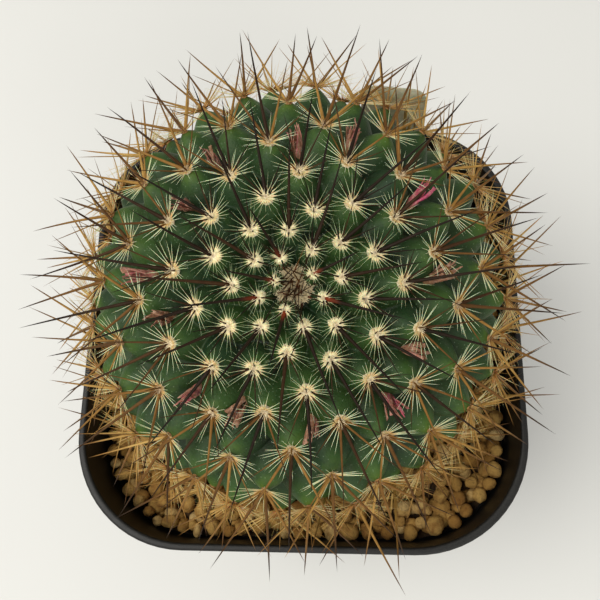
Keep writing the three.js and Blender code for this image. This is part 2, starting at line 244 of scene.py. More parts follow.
class Nodes:
    """A short way to write a node material."""

    def __init__(self, name):
        self.material = bpy.data.materials.new(name)
        self.material.use_nodes = True
        self.tree = self.material.node_tree
        self.shader = self.tree.nodes["Principled BSDF"]
        self.place = self.new("TexCoord").outputs["Object"]

    def new(self, kind, **settings):
        node = self.tree.nodes.new("ShaderNode" + kind)
        for key, value in settings.items():
            setattr(node, key, value)
        return node

    def join(self, source, target):
        self.tree.links.new(source, target)

    def feed(self, sockets, values):
        """Gives each socket its number, colour or link."""
        for socket, value in zip(sockets, values):
            if isinstance(value, (int, float, tuple)):
                socket.default_value = value
            else:
                self.join(value, socket)

    def set(self, **values):
        for key, value in values.items():
            self.shader.inputs[key.replace("_", " ")].default_value = value

    def mark(self, name):
        return self.new("Attribute", attribute_name=name).outputs["Fac"]

    def texture(self, kind, output, **values):
        node = self.new(kind)
        for key, value in values.items():
            node.inputs[key].default_value = value
        self.join(self.place, node.inputs["Vector"])
        return node.outputs[output]

    def noise(self, scale, detail=3, roughness=0.5):
        return self.texture("TexNoise", "Fac", Scale=scale, Detail=detail, Roughness=roughness)

    def cells(self, scale):
        return self.texture("TexVoronoi", "Distance", Scale=scale)

    def ramp(self, source, stops):
        node = self.new("ValToRGB")
        elements = node.color_ramp.elements
        while len(elements) < len(stops):
            elements.new(0.5)
        for element, (position, colour) in zip(elements, stops):
            element.position = position
            element.color = colour
        self.join(source, node.inputs["Fac"])
        return node.outputs["Color"]

    def level(self, source, low, high):
        """Maps a stretch of a value to 0 to 1."""
        node = self.new("MapRange", interpolation_type="SMOOTHSTEP")
        node.inputs["From Min"].default_value = low
        node.inputs["From Max"].default_value = high
        self.join(source, node.inputs["Value"])
        return node.outputs["Result"]

    def math(self, operation, first, second):
        node = self.new("Math", operation=operation)
        self.feed(node.inputs, (first, second))
        return node.outputs["Value"]

    def times(self, first, second):
        return self.math("MULTIPLY", first, second)

    def mix(self, share, first, second, blend="MIX"):
        node = self.new("Mix", data_type="RGBA", blend_type=blend)
        self.feed((node.inputs[0], node.inputs[6], node.inputs[7]), (share, first, second))
        return node.outputs[2]

    def colour(self, source):
        self.join(source, self.shader.inputs["Base Color"])

    def roughness(self, source, low, high):
        node = self.new("MapRange")
        node.inputs["To Min"].default_value = low
        node.inputs["To Max"].default_value = high
        self.join(source, node.inputs["Value"])
        self.join(node.outputs["Result"], self.shader.inputs["Roughness"])

    def bump(self, source, depth, strength=1.0):
        node = self.new("Bump")
        node.inputs["Distance"].default_value = depth
        node.inputs["Strength"].default_value = strength
        self.join(source, node.inputs["Height"])
        self.join(node.outputs["Normal"], self.shader.inputs["Normal"])


# ---- materials

def skin_material():
    nodes = Nodes("cactus_skin")
    depth, old, own, below = map(nodes.mark, ("depth", "old", "own", "below"))
    patch = nodes.noise(230, 4, 0.6)
    fine = nodes.noise(2600, 3, 0.6)
    # painted shade: the green runs from yellow-green at the tubercle tips to near-black in the axils
    # between them
    green = nodes.ramp(depth, [
        (0.0, srgb(100, 116, 40)), (0.1, srgb(68, 94, 30)), (0.3, srgb(44, 72, 26)),
        (0.55, srgb(25, 45, 17)), (0.88, srgb(7, 15, 6))])
    darker = nodes.mix(nodes.level(patch, 0.35, 0.7), green, srgb(22, 47, 21))
    lush = nodes.mix(nodes.times(own, 0.24), darker, srgb(66, 98, 30))
    # painted highlight: a yellow-green sheen on the flank straight below each areole, broken up by the
    # patch noise
    highlight_share = nodes.times(below, nodes.level(patch, 0.25, 0.6))
    highlit = nodes.mix(nodes.times(highlight_share, 0.62), lush, srgb(114, 140, 42))
    bloom_share = nodes.times(
        nodes.level(nodes.math("ADD", patch, own), 0.9, 1.4), nodes.level(old, 0.3, 0.7))
    bloom = nodes.mix(nodes.times(bloom_share, 0.2), highlit, srgb(96, 124, 90))
    specks = nodes.level(nodes.cells(1500), 0.2, 0.08)
    specked = nodes.mix(nodes.times(specks, 0.25), bloom, srgb(150, 172, 140))
    cork = nodes.mix(nodes.level(fine, 0.3, 0.7), srgb(110, 84, 50), srgb(144, 116, 76))
    nodes.colour(nodes.mix(nodes.level(old, 0.86, 0.99), specked, cork))
    nodes.roughness(patch, 0.42, 0.6)
    nodes.bump(nodes.math("ADD", fine, nodes.times(patch, 2.0)), 0.00016, 0.6)
    nodes.set(Subsurface_Weight=0.06, Subsurface_Scale=0.001, Specular_IOR_Level=0.26)
    return nodes.material


def central_material():
    nodes = Nodes("central_spine")
    tone, along, ember = map(nodes.mark, ("tone", "along", "ember"))
    body = nodes.ramp(tone, [
        (0.0, srgb(30, 18, 6)), (0.2, srgb(60, 37, 14)), (0.42, srgb(118, 82, 36)),
        (0.7, srgb(156, 119, 58)), (1.0, srgb(190, 156, 90))])
    tip = nodes.ramp(tone, [
        (0.0, srgb(20, 12, 4)), (0.42, srgb(48, 30, 13)), (0.8, srgb(104, 70, 34)),
        (1.0, srgb(166, 122, 60))])
    shaft = nodes.mix(nodes.level(along, 0.35, 0.9), body, tip)
    ember_share = nodes.times(ember, nodes.level(along, 0.24, 0.04))
    warm = nodes.mix(ember_share, shaft, srgb(124, 50, 22))
    streak = nodes.level(nodes.noise(900, 2), 0.3, 0.7)
    nodes.colour(nodes.mix(nodes.times(streak, 0.3), warm, srgb(140, 104, 60), "MULTIPLY"))
    nodes.roughness(streak, 0.5, 0.65)
    nodes.set(Specular_IOR_Level=0.14)
    return nodes.material


def radial_material():
    nodes = Nodes("radial_spine")
    tone, along, young = map(nodes.mark, ("tone", "along", "young"))
    foot = nodes.mix(young, srgb(212, 176, 116), srgb(250, 232, 184))
    base = nodes.mix(tone, foot, srgb(178, 126, 58))
    grown = nodes.mix(tone, srgb(230, 234, 190), srgb(200, 160, 90))
    shaft = nodes.mix(young, grown, srgb(152, 162, 118))
    colour = nodes.mix(nodes.level(along, 0.1, 0.42), base, shaft)
    streak = nodes.level(nodes.noise(1400, 2), 0.35, 0.75)
    nodes.colour(nodes.mix(nodes.times(streak, 0.2), colour, srgb(176, 160, 104)))
    nodes.roughness(streak, 0.25, 0.45)
    nodes.set(Subsurface_Weight=0.25, Subsurface_Scale=0.0005, Specular_IOR_Level=0.45)
    return nodes.material


def wool_material():
    nodes = Nodes("areole_wool")
    tone, hub = map(nodes.mark, ("tone", "hub"))
    fluff = nodes.noise(3500, 3, 0.7)
    young = nodes.mix(nodes.level(fluff, 0.3, 0.7), srgb(228, 206, 156), srgb(254, 243, 208))
    aged = nodes.mix(nodes.level(fluff, 0.3, 0.7), srgb(120, 76, 36), srgb(186, 140, 84))
    felt = nodes.mix(tone, young, aged)
    nodes.colour(nodes.mix(hub, felt, srgb(92, 52, 26)))
    nodes.roughness(fluff, 0.8, 0.95)
    nodes.bump(fluff, 0.0002, 0.6)
    nodes.set(Sheen_Weight=0.15, Sheen_Roughness=0.5)
    return nodes.material


def pot_material():
    nodes = Nodes("pot_plastic")
    dust = nodes.noise(180, 5, 0.65)
    grain = nodes.noise(5200, 2, 0.5)
    body = nodes.mix(nodes.level(dust, 0.45, 0.8), srgb(9, 9, 8), srgb(20, 19, 18))
    # painted sheen: the top of the rolled rim is lighter, broken up by the fine grain
    rim_sheen = nodes.times(nodes.mark("rim"), nodes.level(grain, 0.35, 0.6))
    nodes.colour(nodes.mix(nodes.times(rim_sheen, 0.4), body, srgb(44, 43, 40)))
    nodes.roughness(dust, 0.4, 0.58)
    nodes.bump(grain, 0.00006, 0.5)
    nodes.set(Specular_IOR_Level=0.3)
    return nodes.material


def granule_material():
    nodes = Nodes("clay_granules")
    own = nodes.mark("own")
    grain = nodes.noise(1800, 5, 0.7)
    blotch = nodes.noise(420, 3, 0.6)
    body = nodes.ramp(own, [
        (0.0, srgb(146, 106, 50)), (0.3, srgb(174, 134, 70)),
        (0.75, srgb(194, 156, 88)), (1.0, srgb(212, 182, 124))])
    shaded = nodes.mix(nodes.level(blotch, 0.4, 0.8), body, srgb(128, 86, 40))
    # painted shade: the low pits of the grain noise, which the bump sinks, are darkened
    pit_shade = nodes.level(grain, 0.5, 0.28)
    nodes.colour(nodes.mix(nodes.times(pit_shade, 0.5), shaded, srgb(78, 50, 24)))
    nodes.roughness(grain, 0.85, 0.98)
    nodes.bump(grain, 0.0004, 0.8)
    nodes.set(Specular_IOR_Level=0.25)
    return nodes.material


def mix_material():
    nodes = Nodes("potting_mix")
    grain = nodes.cells(420)
    fine = nodes.noise(1500, 4, 0.7)
    # painted shade: the bed darkens from the middle of each grain cell to near-black in the gaps
    # between grains
    body = nodes.ramp(grain, [
        (0.0, srgb(112, 82, 42)), (0.45, srgb(84, 60, 30)), (0.8, srgb(36, 26, 14))])
    nodes.colour(nodes.mix(nodes.level(fine, 0.35, 0.7), body, srgb(54, 36, 18)))
    nodes.roughness(fine, 0.9, 1.0)
    nodes.bump(fine, 0.0006, 0.8)
    return nodes.material


def label_material():
    nodes = Nodes("label_plastic")
    cloud = nodes.noise(320, 5, 0.7)
    grain = nodes.noise(4000, 2)
    nodes.colour(nodes.mix(
        nodes.level(cloud, 0.35, 0.7), srgb(190, 190, 160), srgb(150, 150, 122)))
    nodes.roughness(grain, 0.3, 0.5)
    nodes.bump(grain, 0.00003, 0.4)
    nodes.set(Transmission_Weight=0.25, IOR=1.45, Subsurface_Weight=0.2, Subsurface_Scale=0.002)
    return nodes.material


def dried_material():
    nodes = Nodes("dried_petal")
    own, along = map(nodes.mark, ("own", "along"))
    vein = nodes.noise(1400, 4, 0.7)
    body = nodes.ramp(own, [
        (0.0, srgb(122, 84, 52)), (0.3, srgb(160, 112, 84)),
        (0.6, srgb(180, 98, 96)), (1.0, srgb(190, 52, 104))])
    pale = nodes.mix(nodes.times(nodes.level(vein, 0.4, 0.7), 0.6),
                     body, srgb(214, 170, 150))
    torn = nodes.times(nodes.level(nodes.noise(900, 3, 0.6), 0.5, 0.7), 0.55)
    mottled = nodes.mix(torn, pale, srgb(98, 52, 40))
    nodes.colour(nodes.mix(nodes.level(along, 0.6, 0.2), mottled, srgb(140, 106, 66)))
    nodes.roughness(vein, 0.6, 0.85)
    nodes.bump(vein, 0.0002, 0.7)
    nodes.set(Subsurface_Weight=0.15, Subsurface_Scale=0.0008)
    return nodes.material


def floor_material():
    nodes = Nodes("studio_floor")
    cloud = nodes.noise(12, 3)
    nodes.colour(nodes.mix(cloud, srgb(207, 207, 204), srgb(212, 212, 209)))
    nodes.roughness(cloud, 0.75, 0.85)
    return nodes.material


# ---- shapes shared by pieces

def corner_outline(steps):
    """The square with round corners for a half width of 1, anticlockwise."""
    outline = []
    middle = 1 - CORNER_RATIO
    for corner, (side_x, side_y) in enumerate(((1, 1), (-1, 1), (-1, -1), (1, -1))):
        for angle in np.linspace(corner, corner + 1, steps + 1) * math.pi / 2:
            outline.append((side_x * middle + CORNER_RATIO * math.cos(angle),
                            side_y * middle + CORNER_RATIO * math.sin(angle)))
    return np.array(outline)


def square_distance(points, half):
    """Signed distance to the square with round corners, negative inside."""
    corner = half * CORNER_RATIO
    out = np.abs(points[..., :2]) - np.asarray(half - corner)[..., None]
    outside = np.linalg.norm(np.maximum(out, 0), axis=-1)
    return outside + np.minimum(out.max(-1), 0) - corner


COLLAR_LEVEL = RIM_LEVEL - COLLAR_HEIGHT
INNER_TOP = POT_HALF - BEAD_WIDTH


def inner_half(level):
    """Half the pot's inside width at a height."""
    level = np.asarray(level, float)
    collar = INNER_TOP - COLLAR_SLOPE * (RIM_LEVEL - level)
    foot = BASE_HALF - WALL
    shoulder = INNER_TOP - COLLAR_SLOPE * COLLAR_HEIGHT - COLLAR_STEP
    share = np.maximum((level - FLOOR) / (COLLAR_LEVEL - FLOOR), 0)
    return np.where(level >= COLLAR_LEVEL, collar, foot + (shoulder - foot) * share)


def ring_faces(rings, sides):
    """Quads between rings of points that follow each other."""
    ring, side = np.meshgrid(np.arange(rings - 1), np.arange(sides), indexing="ij")
    here = ring * sides + side
    after = ring * sides + (side + 1) % sides
    return np.stack([here, after, after + sides, here + sides], -1).reshape(-1, 4)


def fan_faces(start, sides, centre, flip=False):
    """Triangles from a ring, given by its first point, to a centre."""
    ring = start + np.arange(sides)
    after = start + (np.arange(sides) + 1) % sides
    pair = (after, ring) if flip else (ring, after)
    return np.column_stack([*pair, np.full(sides, centre)])


def square_loft(profile, steps):
    """Points and faces of a closed body through rings of (half width, height), from the lower
    middle to the upper one."""
    outline = corner_outline(steps)
    sides = len(outline)
    profile = np.asarray(profile, float)
    points = np.concatenate([
        np.column_stack([outline * half, np.full(sides, height)]) for half, height in profile[1:-1]])
    count = len(points)
    fans = np.vstack([
        fan_faces(0, sides, count, flip=True), fan_faces(count - sides, sides, count + 1)])
    points = np.vstack([points, (0, 0, profile[0][1]), (0, 0, profile[-1][1])])
    return points, [ring_faces(len(profile) - 2, sides), fans]


# ---- stem

STEM_RADIUS = INNER_TOP - STEM_GAP
STEM_CENTRE = np.array((0, STEM_BACK, RIM_LEVEL + WIDEST_LEVEL))
STEM_TURN = np.array(Matrix.Rotation(LEAN_FORWARD, 3, "X") @ Matrix.Rotation(LEAN_SIDEWAYS, 3, "Y"))


def to_frame(points):
    return np.asarray(points) @ STEM_TURN.T + STEM_CENTRE


def stem_point(polar, azimuth):
    """Point of the surface through the areoles, in the stem's own axes."""
    polar = np.asarray(polar, float)
    upper = polar < math.pi / 2
    sine = np.sin(np.minimum(polar, math.pi - 1e-4))
    radius = STEM_RADIUS * np.where(upper, sine, np.maximum(sine, 1e-9) ** LOWER_FULLNESS)
    towards = np.maximum(np.cos(azimuth - FLAT_AZIMUTH), 0)
    radius = radius * (1 - FLATTENING * towards ** 2 * np.where(upper, sine ** 4, 1))
    along = np.where(upper, CROWN_HEIGHT, LOWER_HEIGHT) * np.cos(polar)
    return np.stack([radius * np.cos(azimuth), radius * np.sin(azimuth), along], -1)


def polar_of(number):
    """A tubercle's angle from the crown."""
    terms = [term * number ** power for power, term in enumerate(POLAR_LAW)]
    return np.sqrt(np.maximum(sum(terms), 0))


def spacing_of(number):
    """Distance between neighbouring tubercles."""
    step = polar_of(number + 0.5) - polar_of(np.maximum(number - 0.5, 0))
    step = np.where(number < 0.5, 2 * step, step)
    ring = TAU * STEM_RADIUS * np.sin(np.minimum(polar_of(number), math.pi / 2))
    return np.sqrt(ring * step * (STEM_RADIUS + CROWN_HEIGHT) / 2)


NUMBERS = np.arange(TUBERCLE_COUNT, dtype=float)
POLARS = polar_of(NUMBERS)
AZIMUTHS = FIRST_AZIMUTH - DIVERGENCE * NUMBERS
SPACINGS = spacing_of(NUMBERS)
TIPS = stem_point(POLARS, AZIMUTHS)
TIPS_PLACED = to_frame(TIPS)
AXES = unit(TIPS) @ STEM_TURN.T
KEPT = np.flatnonzero(TIPS_PLACED[:, 2] > MIX_LEVEL + MIX_GAP)
OUTWARD = stem_point(POLARS + 0.01, AZIMUTHS) - TIPS
CROWNWARD = -unit(OUTWARD)
OUTWARD_PLACED = OUTWARD @ STEM_TURN.T
DOWN = unit(OUTWARD_PLACED - AXES * (OUTWARD_PLACED * AXES).sum(-1, keepdims=True))
SIDE = np.cross(AXES, DOWN)
OWN = np.random.default_rng(5).random(TUBERCLE_COUNT)


def skin_depth(points):
    """How far the skin lies below the areoles: shallow at a tip, deep in an axil.
    Gives the depth, its share of the full depth, the nearest tubercle, and how much a point
    lies straight below its areole."""
    depth, below, share = np.empty((3, len(points)))
    nearest = np.empty(len(points), int)
    chunk = 20000
    for start in range(0, len(points), chunk):
        part = points[start:start + chunk]
        away = part[:, None, :] - TIPS[None]
        reach = np.linalg.norm(away, axis=-1) / SPACINGS
        # the flank towards the crown is a little steeper than the one below
        reach *= 1 + 0.1 * np.clip((away * CROWNWARD[None]).sum(-1) / SPACINGS, -0.5, 0.5)
        blend = np.exp(-AXIL_SHARPNESS * reach)
        soft = -np.log(blend.sum(-1)) / AXIL_SHARPNESS
        close = reach.argmin(-1)
        hill = np.clip(soft / AXIL_REACH, 0, 1.15) ** 1.35
        share[start:start + chunk] = hill
        row = np.arange(len(part))
        downhill = -(away[row, close] * CROWNWARD[close]).sum(-1)
        across = np.linalg.norm(away[row, close], axis=-1)
        straight = np.clip(downhill / np.maximum(across, 1e-9), 0, 1) ** 3
        below[start:start + chunk] = straight * np.clip(1 - reach[row, close] / 0.55, 0, 1)
        depth[start:start + chunk] = hill * TUBERCLE_SLOPE * (
            (blend * SPACINGS).sum(-1) / blend.sum(-1))
        nearest[start:start + chunk] = close
    return depth, share, nearest, below


def make_skin():
    """The green stem with its tubercles, down to the buried collar."""
    columns, rows = SKIN_COLUMNS, SKIN_ROWS
    polars = np.linspace(0, 1, rows + 1)[1:] ** 0.96 * SKIN_LAST_POLAR
    azimuths = np.arange(columns) * TAU / columns
    grid_polar, grid_azimuth = np.meshgrid(polars, azimuths, indexing="ij")
    outer = stem_point(grid_polar.ravel(), grid_azimuth.ravel())
    outer = np.vstack([outer, (0, 0, CROWN_HEIGHT)])
    depth, share, nearest, below = skin_depth(outer)
    surface = outer - unit(outer) * depth[:, None]
    pole = len(surface) - 1
    old = np.append(grid_polar.ravel(), 0) / SKIN_LAST_POLAR
    marks = {"depth": share, "old": old, "own": OWN[nearest], "below": below}
    # the buried root collar closes the skin below the granules
    low = (rows - 1) * columns
    collar = surface[low:pole] * (ROOT_SHARE, ROOT_SHARE, 1) - (0, 0, ROOT_DROP)
    middle = (0, 0, collar[:, 2].mean() - 1 * MM)
    points = to_frame(np.vstack([surface, collar, middle]))
    for key, value in (("depth", 1.0), ("old", 1.0), ("own", 0.5), ("below", 0.0)):
        marks[key] = np.append(marks[key], np.full(columns + 1, value))
    side = np.arange(columns)
    after = (side + 1) % columns
    ring = pole + 1
    quads = ring_faces(rows, columns)[:, ::-1]
    skirt = np.column_stack([after + low, side + low, side + ring, after + ring])
    fans = np.vstack([
        fan_faces(0, columns, pole), fan_faces(ring, columns, ring + columns, flip=True)])
    skin = mesh_piece("cactus_skin", points, [quads, skirt, fans], marks)
    finish_piece(skin, skin_material(), "cactus", "cactus")


# ---- spines

def tapered_tubes(roots, directions, lengths, radii, bends, sides, rings, foot=0.25,
                  foot_reach=0.16, fullness=0.6):
    """Points and faces of many thin pointed tubes. bends moves each tip sideways, and foot
    is how much thicker each is over the first share of its length."""
    count = len(roots)
    directions = unit(directions)
    helper = np.where(np.abs(directions[:, 2:3]) < 0.9, (0, 0, 1), (1, 0, 0))
    across = unit(np.cross(directions, helper))
    other = np.cross(directions, across)
    share = np.linspace(0, 1, rings + 1)[:-1] ** 1.3
    turns = np.arange(sides) * TAU / sides
    taper = (1 - share) ** fullness * (
        1 + np.reshape(foot, (-1, 1)) * np.exp(-(share / foot_reach) ** 2))
    spine = (roots[:, None] + directions[:, None] * (share[None, :, None] * lengths[:, None, None])
             + bends[:, None] * (share[None, :, None] ** 2))
    circle = (across[:, None, :] * np.cos(turns)[None, :, None]
              + other[:, None, :] * np.sin(turns)[None, :, None])
    points = (spine[:, :, None, :]
              + circle[:, None] * (radii[:, None] * taper)[:, :, None, None])
    tips = roots + directions * lengths[:, None] + bends
    points = points.reshape(count, rings * sides, 3)
    points = np.concatenate([points, tips[:, None], roots[:, None]], 1)
    block = rings * sides + 2
    quads = ring_faces(rings, sides)
    fans = np.vstack([
        fan_faces((rings - 1) * sides, sides, rings * sides),
        fan_faces(0, sides, rings * sides + 1, flip=True)])
    offsets = np.arange(count)[:, None, None] * block
    along = np.concatenate([np.repeat(share, sides), [1, 0]])
    return (points.reshape(-1, 3),
            [(quads[None] + offsets).reshape(-1, 4), (fans[None] + offsets).reshape(-1, 3)],
            np.tile(along, count), block)


def tube_piece(name, material, slot, tubes, marks, **shape):
    """Tapered tubes as one piece. marks gives one number for each tube."""
    points, faces, along, block = tapered_tubes(*tubes, **shape)
    marks = {key: np.repeat(values, block) for key, values in marks.items()}
    finish_piece(mesh_piece(name, points, faces, {"along": along, **marks}), material, slot)


def is_free(points):
    """True for points clear of the pot's wall, the granules and the label."""
    level = points[..., 2]
    wall = square_distance(points, inner_half(np.clip(level, FLOOR, RIM_LEVEL)))
    free = (level > RIM_LEVEL + SPINE_GAP) | (wall < -SPINE_GAP)
    free &= level > MIX_LEVEL + 1.2 * MM
    in_label = (points > np.array(label_low) - SPINE_GAP) & (points < np.array(label_high) + SPINE_GAP)
    return free & ~in_label.all(-1)


def settle(roots, directions, lengths):
    """Turns blocked spines upwards, and then shortens them, until they are free.
    Gives the new directions and lengths, and which spines found room."""
    directions = unit(directions)
    best_direction = directions.copy()
    best_length = lengths.copy()
    done = np.zeros(len(roots), bool)
    steps = np.linspace(0.12, 1, 9)
    for share in (1, 0.8, 0.6, 0.45, 0.3):
        for lift in np.linspace(0, 0.9, 9):
            turned = unit(directions * (1 - lift) + np.array((0, 0, 1)) * lift)
            length = lengths * share
            checks = roots[:, None] + turned[:, None] * (length[:, None, None] * steps[None, :, None])
            fits = is_free(checks).all(-1) & ~done
            best_direction[fits] = turned[fits]
            best_length[fits] = length[fits]
            done |= fits
    return best_direction, best_length, done


def keep_inside(roots, directions, lengths):
    """Shortens the spines that would reach well past the box of the CAD model."""
    room_high = (np.array(cad_high) + BOX_PLAY - roots) / np.maximum(directions, 1e-6)
    room_low = (np.array(cad_low) - BOX_PLAY - roots) / np.minimum(directions, -1e-6)
    return np.minimum(lengths, np.minimum(room_high.min(-1), room_low.min(-1)))


def fan(number, angle, tilt):
    """Direction at an areole: angle from straight down the flank, tilt from its own axis."""
    return (AXES[number] * np.cos(tilt)[:, None]
            + (DOWN[number] * np.cos(angle)[:, None] + SIDE[number] * np.sin(angle)[:, None])
            * np.sin(tilt)[:, None])


def make_centrals():
    """The stout brown spines: long ones outwards, shorter ones sideways and upwards."""
    rng = np.random.default_rng(21)
    spines = []
    for n in KEPT:
        # a third of the grown areoles have no spine towards the crown
        for turn, lean, reach in CENTRAL_PATTERN[:6 if n % 3 or n < YOUNG_COUNT else 5]:
            grown = float(smooth_step(YOUNG_COUNT, 60, n))
            if turn == 180 and n < YOUNG_COUNT:
                lean, reach = YOUNG_INWARD
            young = reach if reach > 0.9 else reach * (0.5 + 0.5 * grown)
            spines.append((n, math.radians(turn + rng.normal(0, 8)),
                           math.radians(lean * (0.84 + 0.2 * grown) + rng.normal(0, 6)),
                           young * rng.uniform(0.84, 1.04)))
    number, angle, tilt, share = np.array(spines).T
    number = number.astype(int)
    leader = share > LEADER_SHARE
    full = (7.5 + 7 * smooth_step(0, 6, number) + 4.7 * smooth_step(12, 50, number)
            + 1.4 * smooth_step(60, 90, number)) * MM
    directions = fan(number, angle, tilt)
    around = unit(directions - AXES[number] * (directions * AXES[number]).sum(-1, keepdims=True))
    roots = TIPS_PLACED[number] + around * np.minimum(0.3 * MM, 0.05 * SPACINGS[number])[:, None]
    roots = roots - AXES[number] * 0.1 * MM
    directions, lengths, done = settle(roots, directions, full * share)
    lengths = keep_inside(roots, directions, lengths)
    bends = rng.normal(0, 0.022, (len(number), 3)) * lengths[:, None]
    radii = (0.12 + 0.17 * smooth_step(0.4, 0.95, share)) * MM
    tone = (0.6 * smooth_step(18, 74, number) + 0.34 * smooth_step(74, 120, number)
            + np.where(leader, -0.2, 0.1) * smooth_step(10, 40, number)
            + rng.normal(0.02, 0.08, len(number)))
    ember = np.where(leader & (number < 6), rng.uniform(0.3, 1, len(number)), 0)
    tube_piece(
        "central_spines", central_material(), "spines",
        (roots[done], directions[done], lengths[done], radii[done], bends[done], 7, 8),
        {"tone": np.clip(tone[done], 0, 1), "ember": ember[done]})


def make_crown():
    """The growing point: a cushion of pale wool crossed by short new spines."""
    rng = np.random.default_rng(77)
    apex = to_frame((0, 0, CROWN_HEIGHT))
    first, axis = STEM_TURN[:, 0], STEM_TURN[:, 2]
    second = np.cross(axis, first)
    count = CROWN_HAIRS
    radius = CROWN_RADIUS * np.sqrt(rng.random(count))
    turn = rng.uniform(0, TAU, count)
    spot = (apex + first * (radius * np.cos(turn))[:, None]
            + second * (radius * np.sin(turn))[:, None]
            - axis * (1.5 * MM + radius ** 2 * 25)[:, None])
    directions = unit(axis + rng.normal(0, 1.1, (count, 3)))
    lengths = rng.uniform(0.5, 1.0, count) * MM
    bends = rng.normal(0, 0.35, (count, 3)) * lengths[:, None]
    tube_piece(
        "crown_wool", wool_material(), "wool",
        (spot, directions, lengths, np.full(count, 0.055 * MM), bends, 3, 3),
        {"tone": rng.uniform(0.0, 0.18, count), "hub": rng.uniform(0.0, 0.03, count)})

    count = CROWN_SPINES
    turn = np.arange(count) * DIVERGENCE + rng.normal(0, 0.2, count)
    radius = rng.uniform(0.4, 3.2, count) * MM
    outward = first * np.cos(turn)[:, None] + second * np.sin(turn)[:, None]
    roots = apex + outward * radius[:, None] - axis * 0.9 * MM
    lean = outward * rng.normal(-0.3, 1.1, count)[:, None]
    across = np.cross(axis, outward) * rng.normal(0, 1.0, count)[:, None]
    directions = unit(axis + lean + across)
    lengths = rng.uniform(2.4, 6.5, count) * MM
    tube_piece(
        "crown_spines", central_material(), "spines",
        (roots, directions, lengths, rng.uniform(0.07, 0.13, count) * MM,
         rng.normal(0, 0.03, (count, 3)) * lengths[:, None], 6, 6),
        {"tone": rng.uniform(0.0, 0.3, count), "ember": rng.uniform(0, 0.4, count)})


def make_radials():
    """The glassy needles that lie in a star round each areole. The ones below are long and
    stout, and the ones above are as fine as hair."""
    rng = np.random.default_rng(33)
    number, angle = [], []
    for n in KEPT:
        count = RADIAL_COUNT_FRINGE if FRINGE[0] <= n < FRINGE[1] else RADIAL_COUNT
        count = RADIAL_COUNT_CROWN if n < 3 else count
        start = rng.uniform(0, TAU)
        for i in range(count):
            number.append(n)
            angle.append(start + TAU * (i + rng.uniform(-0.36, 0.36)) / count)
    number, angle = np.array(number), np.array(angle)
    downward = np.cos(angle)
    grown = smooth_step(8, 90, number)
    old = smooth_step(76, 108, number)
    tilt = np.radians(
        74 + 4 * downward - 9 * old + rng.normal(0, 1, len(number)) * (5 + 8 * old))
    full = (2.5 + 2.2 * smooth_step(0, 26, number) + 3.0 * smooth_step(24, 100, number)) * MM
    full = full + 1.3 * MM * smooth_step(70, 100, number) * smooth_step(124, 108, number)
    lengths = full * (0.84 + (0.1 + 0.1 * grown) * downward) * rng.uniform(0.8, 1.1, len(number))
    directions = fan(number, angle, tilt)
    around = fan(number, angle, np.full(len(number), math.pi / 2))
    ring = np.minimum(0.5 * MM, 0.1 * SPACINGS[number])
    roots = TIPS_PLACED[number] + around * ring[:, None] + AXES[number] * 0.05 * MM
    directions, lengths, done = settle(roots, directions, lengths)
    bends = rng.normal(0, 0.035, (len(number), 3)) * lengths[:, None]
    young = 1 - smooth_step(16, 42, number)
    radii = (0.05 - 0.015 * young) * MM * (1 + grown * (0.2 + 0.45 * downward))
    radii = radii * (1 - 0.12 * smooth_step(70, 100, number))
    tone = (smooth_step(54, 96, number) * 0.94 + 0.14 * grown * downward
            + rng.normal(0.02, 0.12, len(number)))
    tube_piece(
        "radial_spines", radial_material(), "spines",
        (roots[done], directions[done], lengths[done], radii[done], bends[done], 5, 6),
        {"tone": np.clip(tone[done], 0, 1), "young": young[done] * 0.85},
        foot=(1.1 + 6.2 * young)[done], foot_reach=0.2, fullness=0.5)


def make_wool():
    """A tuft of short felt on each areole: a lumpy cushion with loose hairs."""
    rng = np.random.default_rng(44)
    base, triangles = unit_ball(2)
    points, faces, tone, hub = [], [], [], []
    for place, n in enumerate(KEPT):
        size = min(1.12 * MM, 0.27 * SPACINGS[n]) * (1 - 0.42 * smooth_step(24, 70, n))
        lumps = 1 + 0.16 * np.sin(base @ rng.normal(0, 4, 3)) + rng.normal(0, 0.05, len(base))
        local = base * lumps[:, None] * (size, size * 0.92, size * 0.42)
        placed = (local[:, :1] * DOWN[n] + local[:, 1:2] * SIDE[n] + local[:, 2:] * AXES[n])
        points.append(placed + TIPS_PLACED[n] - AXES[n] * 0.15 * MM)
        faces.append(triangles + place * len(base))
        tone.append(np.full(len(base), smooth_step(26, 72, n)))
        hub.append(0.8 * smooth_step(0.36, 0.1, np.hypot(base[:, 0], base[:, 1])) * (base[:, 2] > 0))
    number = np.repeat(KEPT, WOOL_HAIRS)
    count = len(number)
    size = np.minimum(0.95 * MM, 0.24 * SPACINGS[number])
    angle = rng.uniform(0, TAU, count)
    tilt = rng.uniform(0.7, 1.5, count)
    directions = fan(number, angle, tilt)
    roots = TIPS_PLACED[number] + directions * (size * 0.3)[:, None]
    lengths = size * rng.uniform(0.7, 1.25, count) * (1 - 0.4 * smooth_step(24, 70, number))
    bends = rng.normal(0, 0.28, (count, 3)) * lengths[:, None]
    hair_points, hair_faces, _, block = tapered_tubes(
        roots, directions, lengths, np.full(count, 0.05 * MM), bends, 3, 3)
    offset = sum(map(len, points))
    points = np.vstack([*points, hair_points])
    tone = np.concatenate([*tone, np.repeat(smooth_step(26, 72, number), block)])
    hub = np.concatenate([*hub, np.zeros(count * block)])
    piece = mesh_piece(
        "areole_wool", points, [*faces, *(group + offset for group in hair_faces)],
        {"tone": tone, "hub": hub})
    finish_piece(piece, wool_material(), "wool")


# ---- pot

def arc(centre_half, centre_level, radius, start, end, steps):
    """Points of a profile along an arc, from one angle to another in degrees."""
    angles = np.radians(np.linspace(start, end, steps + 1))
    return [(centre_half + radius * math.cos(a), centre_level + radius * math.sin(a)) for a in angles]


